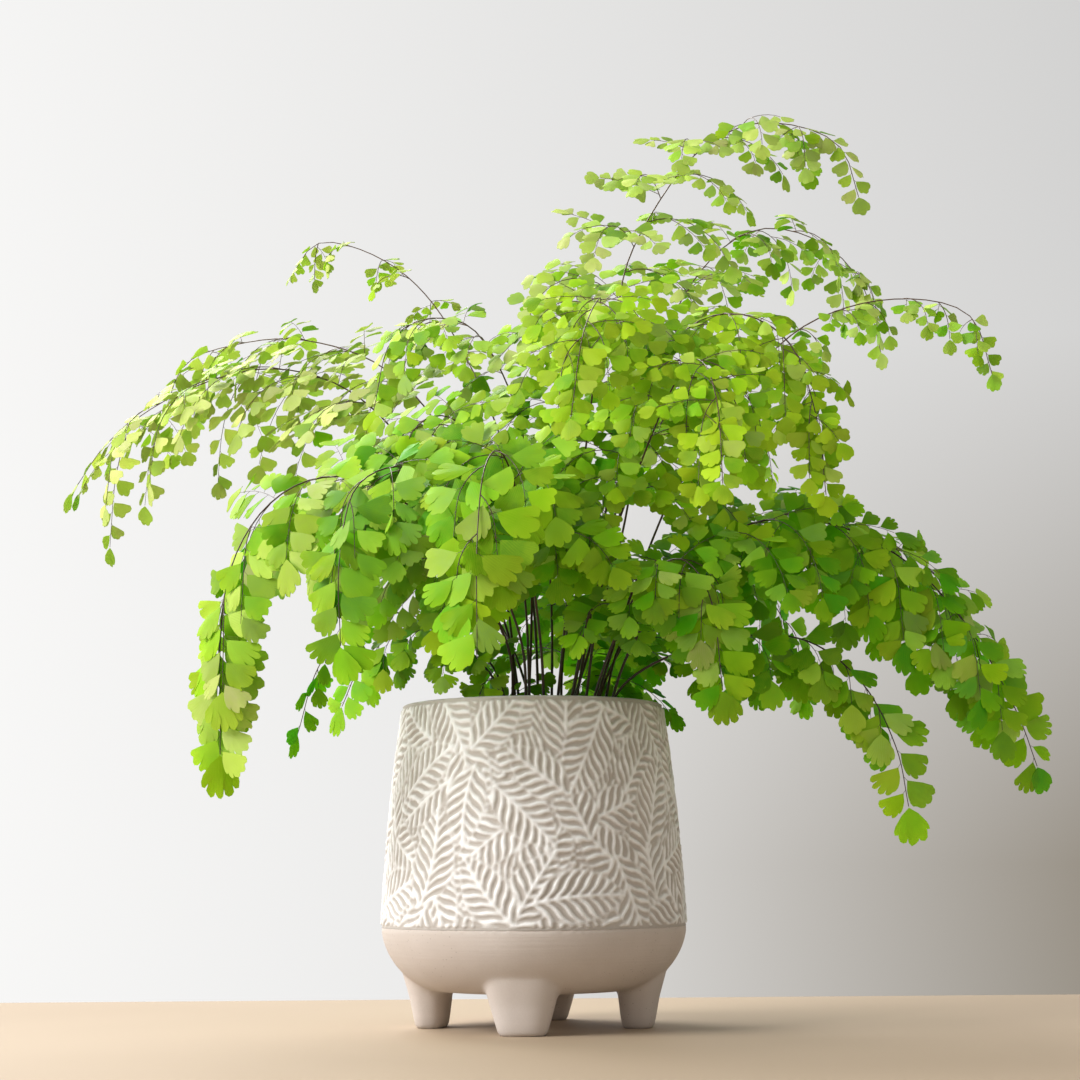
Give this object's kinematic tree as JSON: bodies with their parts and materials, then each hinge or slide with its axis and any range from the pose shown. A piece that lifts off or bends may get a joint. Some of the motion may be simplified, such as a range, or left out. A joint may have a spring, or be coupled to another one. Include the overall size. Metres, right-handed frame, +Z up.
{
  "type": "potted maidenhair fern",
  "caption": "Maidenhair fern with arching fronds of small fan-shaped leaflets, growing from soil in a round pot with short feet and a narrower rim.",
  "frame": {"origin": "on the floor under the pot's axis, at the middle of the whole plant's width and depth", "axes": "+Z up, +X to the right and -Y towards the front as the picture shows the plant"},
  "size_m": [0.5064, 0.3386, 0.4558],
  "materials": {
    "pot": "matt greige clay body, the band's raised pattern brushed with white",
    "soil": "rough dark potting soil",
    "leaf_fresh": "thin soft yellow-green leaflets on dark glossy stalks",
    "leaf_green": "thin soft mid-green leaflets on dark glossy stalks",
    "leaf_deep": "thin soft deep-green leaflets on dark glossy stalks"
  },
  "bodies": {
    "root": {"frond_back_left_high": "leaf_green", "frond_back_left_long": "leaf_green", "frond_back_low": "leaf_deep", "frond_back_middle": "leaf_green", "frond_back_right": "leaf_green", "frond_back_right_low": "leaf_deep", "frond_behind_left_hanging": "leaf_deep", "frond_behind_left_low": "leaf_deep", "frond_behind_middle_right": "leaf_fresh", "frond_front_left": "leaf_deep", "frond_front_left_long": "leaf_green", "frond_front_middle": "leaf_green", "frond_front_right": "leaf_deep", "frond_left_front_upper": "leaf_green", "frond_left_middle": "leaf_green", "frond_mound_front": "leaf_fresh", "frond_mound_near": "leaf_fresh", "frond_mound_right": "leaf_fresh", "frond_right_behind": "leaf_deep", "frond_right_long": "leaf_deep", "frond_right_low": "leaf_green", "frond_right_thin": "leaf_green", "frond_rim_left": "leaf_green", "frond_top_right": "leaf_green", "frond_young_left": "leaf_fresh", "pot": "pot", "soil": "soil"}
  },
  "joints": []
}
